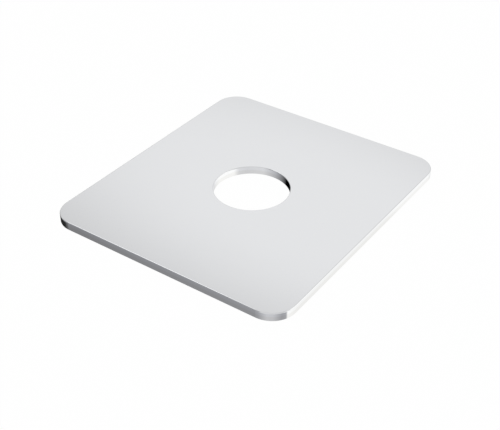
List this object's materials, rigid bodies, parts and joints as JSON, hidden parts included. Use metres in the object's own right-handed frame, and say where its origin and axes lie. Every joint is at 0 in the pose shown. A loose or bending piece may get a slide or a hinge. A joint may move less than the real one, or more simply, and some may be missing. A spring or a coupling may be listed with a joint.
{
  "type": "rectangular cover plate",
  "caption": "Flat rectangular cover plate with rounded corners and a round central hole, in bright plated metal.",
  "frame": {"origin": "on the axis of the central hole, in the plane of the flat back face", "axes": "+Z out of the front face along the hole's axis, +Y along the longer side, +X along the shorter side"},
  "size_m": [0.16, 0.18, 0.0052],
  "materials": {
    "bright_chrome": "smooth bright plating, polished to a mirror"
  },
  "bodies": {
    "root": {"cover_plate": "bright_chrome"}
  },
  "joints": []
}
